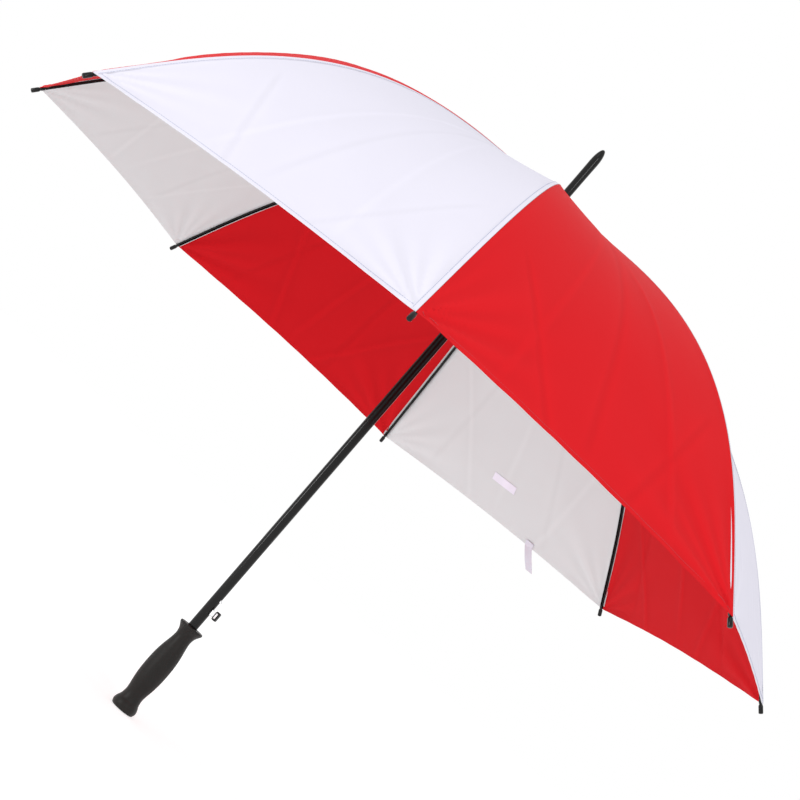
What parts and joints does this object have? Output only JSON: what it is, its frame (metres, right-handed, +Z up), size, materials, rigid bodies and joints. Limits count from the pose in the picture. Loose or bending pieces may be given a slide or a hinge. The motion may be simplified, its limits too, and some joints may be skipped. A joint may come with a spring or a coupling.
{
  "type": "golf umbrella",
  "caption": "Straight golf umbrella with a domed cloth canopy on hinged ribs and stretchers, a sliding runner, push-button release and a moulded handle.",
  "frame": {"origin": "centre of the flat end face of the handle", "axes": "+Z up the shaft from the handle to the ferrule, +X along rib 1, +Y along rib 3; the picture looks along +Y"},
  "size_m": [1.2784, 1.2784, 0.98],
  "materials": {
    "black_baked_enamel": "gloss",
    "spring_steel": "satin",
    "black_plastic": "gloss",
    "handle_plastic": "satin",
    "red_cloth": "woven polyester",
    "white_cloth": "woven polyester"
  },
  "bodies": {
    "shaft": {"shaft_tube": "black_baked_enamel", "handle_grip": "handle_plastic", "handle_end_cap": "handle_plastic", "ferrule": "black_plastic", "crown": "black_plastic", "crown_wire": "spring_steel", "opening_spring": "spring_steel"},
    "runner": {"runner": "black_plastic", "runner_wire": "spring_steel"},
    "release_button": {"release_button": "black_plastic"},
    "runner_catch": {"runner_catch": "spring_steel"},
    "rib_1_inner": {"rib_1_inner": "black_baked_enamel"},
    "rib_1_outer": {"rib_1_outer": "black_baked_enamel", "rib_tip_1": "black_plastic"},
    "stretcher_1": {"stretcher_1": "black_baked_enamel"},
    "rib_2_inner": {"rib_2_inner": "black_baked_enamel"},
    "rib_2_outer": {"rib_2_outer": "black_baked_enamel", "rib_tip_2": "black_plastic"},
    "stretcher_2": {"stretcher_2": "black_baked_enamel"},
    "rib_3_inner": {"rib_3_inner": "black_baked_enamel"},
    "rib_3_outer": {"rib_3_outer": "black_baked_enamel", "rib_tip_3": "black_plastic"},
    "stretcher_3": {"stretcher_3": "black_baked_enamel"},
    "rib_4_inner": {"rib_4_inner": "black_baked_enamel"},
    "rib_4_outer": {"rib_4_outer": "black_baked_enamel", "rib_tip_4": "black_plastic"},
    "stretcher_4": {"stretcher_4": "black_baked_enamel"},
    "rib_5_inner": {"rib_5_inner": "black_baked_enamel"},
    "rib_5_outer": {"rib_5_outer": "black_baked_enamel", "rib_tip_5": "black_plastic"},
    "stretcher_5": {"stretcher_5": "black_baked_enamel"},
    "rib_6_inner": {"rib_6_inner": "black_baked_enamel"},
    "rib_6_outer": {"rib_6_outer": "black_baked_enamel", "rib_tip_6": "black_plastic"},
    "stretcher_6": {"stretcher_6": "black_baked_enamel"},
    "rib_7_inner": {"rib_7_inner": "black_baked_enamel"},
    "rib_7_outer": {"rib_7_outer": "black_baked_enamel", "rib_tip_7": "black_plastic"},
    "stretcher_7": {"stretcher_7": "black_baked_enamel"},
    "rib_8_inner": {"rib_8_inner": "black_baked_enamel"},
    "rib_8_outer": {"rib_8_outer": "black_baked_enamel", "rib_tip_8": "black_plastic"},
    "stretcher_8": {"stretcher_8": "black_baked_enamel"},
    "panel_1_inner": {"canopy_panel_1_inner": "red_cloth"},
    "panel_1_outer": {"canopy_panel_1_outer": "red_cloth"},
    "panel_2_inner": {"canopy_panel_2_inner": "white_cloth"},
    "panel_2_outer": {"canopy_panel_2_outer": "white_cloth", "tie_strap": "white_cloth"},
    "panel_3_inner": {"canopy_panel_3_inner": "red_cloth"},
    "panel_3_outer": {"canopy_panel_3_outer": "red_cloth"},
    "panel_4_inner": {"canopy_panel_4_inner": "white_cloth"},
    "panel_4_outer": {"canopy_panel_4_outer": "white_cloth"},
    "panel_5_inner": {"canopy_panel_5_inner": "red_cloth"},
    "panel_5_outer": {"canopy_panel_5_outer": "red_cloth"},
    "panel_6_inner": {"canopy_panel_6_inner": "white_cloth"},
    "panel_6_outer": {"canopy_panel_6_outer": "white_cloth"},
    "panel_7_inner": {"canopy_panel_7_inner": "red_cloth"},
    "panel_7_outer": {"canopy_panel_7_outer": "red_cloth"},
    "panel_8_inner": {"canopy_panel_8_inner": "white_cloth"},
    "panel_8_outer": {"canopy_panel_8_outer": "white_cloth"}
  },
  "joints": [
    {"name": "runner_slide", "type": "slide", "parent": "shaft", "child": "runner", "axis": [0, 0, 1], "range_m": [-0.51134, 0], "stiffness_N_per_m": 60, "springref_m": 0.5, "deforming": ["opening_spring", "canopy_panel_1_inner", "canopy_panel_1_outer", "canopy_panel_2_inner", "canopy_panel_2_outer", "canopy_panel_3_inner", "canopy_panel_3_outer", "canopy_panel_4_inner", "canopy_panel_4_outer", "canopy_panel_5_inner", "canopy_panel_5_outer", "canopy_panel_6_inner", "canopy_panel_6_outer", "canopy_panel_7_inner", "canopy_panel_7_outer", "canopy_panel_8_inner", "canopy_panel_8_outer", "tie_strap"]},
    {"name": "button_press", "type": "slide", "parent": "shaft", "child": "release_button", "axis": [-0.9239, 0.3827, 0], "range_m": [0, 0.0026], "stiffness_N_per_m": 900, "springref_m": -0.003},
    {"name": "catch_retract", "type": "slide", "parent": "shaft", "child": "runner_catch", "axis": [-0.9239, 0.3827, 0], "range_m": [0, 0.0026]},
    {"name": "rib_1_hinge", "type": "hinge", "parent": "shaft", "child": "rib_1_inner", "pos_m": [0.012, 0, 0.878], "axis": [0, 1, 0], "range_deg": [0, 73.89]},
    {"name": "rib_1_bend", "type": "hinge", "parent": "rib_1_inner", "child": "rib_1_outer", "pos_m": [0.3444, 0, 0.79762], "axis": [0, 1, 0], "range_deg": [-24.32, 0]},
    {"name": "stretcher_1_hinge", "type": "hinge", "parent": "rib_1_inner", "child": "stretcher_1", "pos_m": [0.33807, 0, 0.79829], "axis": [0, 1, 0], "range_deg": [-147.77, 0]},
    {"name": "rib_2_hinge", "type": "hinge", "parent": "shaft", "child": "rib_2_inner", "pos_m": [0.00848, 0.00848, 0.878], "axis": [-0.7071, 0.7071, 0], "range_deg": [0, 73.89]},
    {"name": "rib_2_bend", "type": "hinge", "parent": "rib_2_inner", "child": "rib_2_outer", "pos_m": [0.24353, 0.24353, 0.79762], "axis": [-0.7071, 0.7071, 0], "range_deg": [-24.32, 0]},
    {"name": "stretcher_2_hinge", "type": "hinge", "parent": "rib_2_inner", "child": "stretcher_2", "pos_m": [0.23905, 0.23905, 0.79829], "axis": [-0.7071, 0.7071, 0], "range_deg": [-147.77, 0]},
    {"name": "rib_3_hinge", "type": "hinge", "parent": "shaft", "child": "rib_3_inner", "pos_m": [0, 0.012, 0.878], "axis": [-1, 0, 0], "range_deg": [0, 73.89]},
    {"name": "rib_3_bend", "type": "hinge", "parent": "rib_3_inner", "child": "rib_3_outer", "pos_m": [0, 0.3444, 0.79762], "axis": [-1, 0, 0], "range_deg": [-24.32, 0]},
    {"name": "stretcher_3_hinge", "type": "hinge", "parent": "rib_3_inner", "child": "stretcher_3", "pos_m": [0, 0.33807, 0.79829], "axis": [-1, 0, 0], "range_deg": [-147.77, 0]},
    {"name": "rib_4_hinge", "type": "hinge", "parent": "shaft", "child": "rib_4_inner", "pos_m": [-0.00848, 0.00848, 0.878], "axis": [-0.7071, -0.7071, 0], "range_deg": [0, 73.89]},
    {"name": "rib_4_bend", "type": "hinge", "parent": "rib_4_inner", "child": "rib_4_outer", "pos_m": [-0.24353, 0.24353, 0.79762], "axis": [-0.7071, -0.7071, 0], "range_deg": [-24.32, 0]},
    {"name": "stretcher_4_hinge", "type": "hinge", "parent": "rib_4_inner", "child": "stretcher_4", "pos_m": [-0.23905, 0.23905, 0.79829], "axis": [-0.7071, -0.7071, 0], "range_deg": [-147.77, 0]},
    {"name": "rib_5_hinge", "type": "hinge", "parent": "shaft", "child": "rib_5_inner", "pos_m": [-0.012, 0, 0.878], "axis": [0, -1, 0], "range_deg": [0, 73.89]},
    {"name": "rib_5_bend", "type": "hinge", "parent": "rib_5_inner", "child": "rib_5_outer", "pos_m": [-0.3444, 0, 0.79762], "axis": [0, -1, 0], "range_deg": [-24.32, 0]},
    {"name": "stretcher_5_hinge", "type": "hinge", "parent": "rib_5_inner", "child": "stretcher_5", "pos_m": [-0.33807, 0, 0.79829], "axis": [0, -1, 0], "range_deg": [-147.77, 0]},
    {"name": "rib_6_hinge", "type": "hinge", "parent": "shaft", "child": "rib_6_inner", "pos_m": [-0.00848, -0.00848, 0.878], "axis": [0.7071, -0.7071, 0], "range_deg": [0, 73.89]},
    {"name": "rib_6_bend", "type": "hinge", "parent": "rib_6_inner", "child": "rib_6_outer", "pos_m": [-0.24353, -0.24353, 0.79762], "axis": [0.7071, -0.7071, 0], "range_deg": [-24.32, 0]},
    {"name": "stretcher_6_hinge", "type": "hinge", "parent": "rib_6_inner", "child": "stretcher_6", "pos_m": [-0.23905, -0.23905, 0.79829], "axis": [0.7071, -0.7071, 0], "range_deg": [-147.77, 0]},
    {"name": "rib_7_hinge", "type": "hinge", "parent": "shaft", "child": "rib_7_inner", "pos_m": [0, -0.012, 0.878], "axis": [1, 0, 0], "range_deg": [0, 73.89]},
    {"name": "rib_7_bend", "type": "hinge", "parent": "rib_7_inner", "child": "rib_7_outer", "pos_m": [0, -0.3444, 0.79762], "axis": [1, 0, 0], "range_deg": [-24.32, 0]},
    {"name": "stretcher_7_hinge", "type": "hinge", "parent": "rib_7_inner", "child": "stretcher_7", "pos_m": [0, -0.33807, 0.79829], "axis": [1, 0, 0], "range_deg": [-147.77, 0]},
    {"name": "rib_8_hinge", "type": "hinge", "parent": "shaft", "child": "rib_8_inner", "pos_m": [0.00848, -0.00848, 0.878], "axis": [0.7071, 0.7071, 0], "range_deg": [0, 73.89]},
    {"name": "rib_8_bend", "type": "hinge", "parent": "rib_8_inner", "child": "rib_8_outer", "pos_m": [0.24353, -0.24353, 0.79762], "axis": [0.7071, 0.7071, 0], "range_deg": [-24.32, 0]},
    {"name": "stretcher_8_hinge", "type": "hinge", "parent": "rib_8_inner", "child": "stretcher_8", "pos_m": [0.23905, -0.23905, 0.79829], "axis": [0.7071, 0.7071, 0], "range_deg": [-147.77, 0]},
    {"name": "panel_1_hinge", "type": "hinge", "parent": "shaft", "child": "panel_1_inner", "pos_m": [0.01293, 0.00536, 0.88839], "axis": [-0.3827, 0.9239, 0], "range_deg": [0, 69.09]},
    {"name": "panel_1_bend", "type": "hinge", "parent": "panel_1_inner", "child": "panel_1_outer", "pos_m": [0.29416, 0.12185, 0.79233], "axis": [-0.3827, 0.9239, 0], "range_deg": [-23.48, 0]},
    {"name": "panel_2_hinge", "type": "hinge", "parent": "shaft", "child": "panel_2_inner", "pos_m": [0.00536, 0.01293, 0.88839], "axis": [-0.9239, 0.3827, 0], "range_deg": [0, 69.09]},
    {"name": "panel_2_bend", "type": "hinge", "parent": "panel_2_inner", "child": "panel_2_outer", "pos_m": [0.12185, 0.29416, 0.79233], "axis": [-0.9239, 0.3827, 0], "range_deg": [-23.48, 0]},
    {"name": "panel_3_hinge", "type": "hinge", "parent": "shaft", "child": "panel_3_inner", "pos_m": [-0.00536, 0.01293, 0.88839], "axis": [-0.9239, -0.3827, 0], "range_deg": [0, 69.09]},
    {"name": "panel_3_bend", "type": "hinge", "parent": "panel_3_inner", "child": "panel_3_outer", "pos_m": [-0.12185, 0.29416, 0.79233], "axis": [-0.9239, -0.3827, 0], "range_deg": [-23.48, 0]},
    {"name": "panel_4_hinge", "type": "hinge", "parent": "shaft", "child": "panel_4_inner", "pos_m": [-0.01293, 0.00536, 0.88839], "axis": [-0.3827, -0.9239, 0], "range_deg": [0, 69.09]},
    {"name": "panel_4_bend", "type": "hinge", "parent": "panel_4_inner", "child": "panel_4_outer", "pos_m": [-0.29416, 0.12185, 0.79233], "axis": [-0.3827, -0.9239, 0], "range_deg": [-23.48, 0]},
    {"name": "panel_5_hinge", "type": "hinge", "parent": "shaft", "child": "panel_5_inner", "pos_m": [-0.01293, -0.00536, 0.89004], "axis": [0.3827, -0.9239, 0], "range_deg": [0, 73.3]},
    {"name": "panel_5_bend", "type": "hinge", "parent": "panel_5_inner", "child": "panel_5_outer", "pos_m": [-0.29416, -0.12185, 0.81845], "axis": [0.3827, -0.9239, 0], "range_deg": [-30.55, 0]},
    {"name": "panel_6_hinge", "type": "hinge", "parent": "shaft", "child": "panel_6_inner", "pos_m": [-0.00536, -0.01293, 0.88839], "axis": [0.9239, -0.3827, 0], "range_deg": [0, 69.09]},
    {"name": "panel_6_bend", "type": "hinge", "parent": "panel_6_inner", "child": "panel_6_outer", "pos_m": [-0.12185, -0.29416, 0.79233], "axis": [0.9239, -0.3827, 0], "range_deg": [-23.48, 0]},
    {"name": "panel_7_hinge", "type": "hinge", "parent": "shaft", "child": "panel_7_inner", "pos_m": [0.00536, -0.01293, 0.88839], "axis": [0.9239, 0.3827, 0], "range_deg": [0, 69.09]},
    {"name": "panel_7_bend", "type": "hinge", "parent": "panel_7_inner", "child": "panel_7_outer", "pos_m": [0.12185, -0.29416, 0.79233], "axis": [0.9239, 0.3827, 0], "range_deg": [-23.48, 0]},
    {"name": "panel_8_hinge", "type": "hinge", "parent": "shaft", "child": "panel_8_inner", "pos_m": [0.01293, -0.00536, 0.88839], "axis": [0.3827, 0.9239, 0], "range_deg": [0, 69.09]},
    {"name": "panel_8_bend", "type": "hinge", "parent": "panel_8_inner", "child": "panel_8_outer", "pos_m": [0.29416, -0.12185, 0.79233], "axis": [0.3827, 0.9239, 0], "range_deg": [-23.48, 0]}
  ],
  "couplings": [
    {"joint": "catch_retract", "follows": "button_press", "ratio": 1},
    {"joint": "rib_1_hinge", "follows": "runner_slide", "rad_per_m": -2.5215},
    {"joint": "rib_1_bend", "follows": "runner_slide", "rad_per_m": 0.82942},
    {"joint": "stretcher_1_hinge", "follows": "runner_slide", "rad_per_m": 5.0429},
    {"joint": "rib_2_hinge", "follows": "runner_slide", "rad_per_m": -2.5215},
    {"joint": "rib_2_bend", "follows": "runner_slide", "rad_per_m": 0.82942},
    {"joint": "stretcher_2_hinge", "follows": "runner_slide", "rad_per_m": 5.0429},
    {"joint": "rib_3_hinge", "follows": "runner_slide", "rad_per_m": -2.5215},
    {"joint": "rib_3_bend", "follows": "runner_slide", "rad_per_m": 0.82942},
    {"joint": "stretcher_3_hinge", "follows": "runner_slide", "rad_per_m": 5.0429},
    {"joint": "rib_4_hinge", "follows": "runner_slide", "rad_per_m": -2.5215},
    {"joint": "rib_4_bend", "follows": "runner_slide", "rad_per_m": 0.82942},
    {"joint": "stretcher_4_hinge", "follows": "runner_slide", "rad_per_m": 5.0429},
    {"joint": "rib_5_hinge", "follows": "runner_slide", "rad_per_m": -2.5215},
    {"joint": "rib_5_bend", "follows": "runner_slide", "rad_per_m": 0.82942},
    {"joint": "stretcher_5_hinge", "follows": "runner_slide", "rad_per_m": 5.0429},
    {"joint": "rib_6_hinge", "follows": "runner_slide", "rad_per_m": -2.5215},
    {"joint": "rib_6_bend", "follows": "runner_slide", "rad_per_m": 0.82942},
    {"joint": "stretcher_6_hinge", "follows": "runner_slide", "rad_per_m": 5.0429},
    {"joint": "rib_7_hinge", "follows": "runner_slide", "rad_per_m": -2.5215},
    {"joint": "rib_7_bend", "follows": "runner_slide", "rad_per_m": 0.82942},
    {"joint": "stretcher_7_hinge", "follows": "runner_slide", "rad_per_m": 5.0429},
    {"joint": "rib_8_hinge", "follows": "runner_slide", "rad_per_m": -2.5215},
    {"joint": "rib_8_bend", "follows": "runner_slide", "rad_per_m": 0.82942},
    {"joint": "stretcher_8_hinge", "follows": "runner_slide", "rad_per_m": 5.0429},
    {"joint": "panel_1_hinge", "follows": "runner_slide", "rad_per_m": -2.3576},
    {"joint": "panel_1_bend", "follows": "runner_slide", "rad_per_m": 0.80075},
    {"joint": "panel_2_hinge", "follows": "runner_slide", "rad_per_m": -2.3576},
    {"joint": "panel_2_bend", "follows": "runner_slide", "rad_per_m": 0.80075},
    {"joint": "panel_3_hinge", "follows": "runner_slide", "rad_per_m": -2.3576},
    {"joint": "panel_3_bend", "follows": "runner_slide", "rad_per_m": 0.80075},
    {"joint": "panel_4_hinge", "follows": "runner_slide", "rad_per_m": -2.3576},
    {"joint": "panel_4_bend", "follows": "runner_slide", "rad_per_m": 0.80075},
    {"joint": "panel_5_hinge", "follows": "runner_slide", "rad_per_m": -2.5013},
    {"joint": "panel_5_bend", "follows": "runner_slide", "rad_per_m": 1.0421},
    {"joint": "panel_6_hinge", "follows": "runner_slide", "rad_per_m": -2.3576},
    {"joint": "panel_6_bend", "follows": "runner_slide", "rad_per_m": 0.80075},
    {"joint": "panel_7_hinge", "follows": "runner_slide", "rad_per_m": -2.3576},
    {"joint": "panel_7_bend", "follows": "runner_slide", "rad_per_m": 0.80075},
    {"joint": "panel_8_hinge", "follows": "runner_slide", "rad_per_m": -2.3576},
    {"joint": "panel_8_bend", "follows": "runner_slide", "rad_per_m": 0.80075}
  ]
}
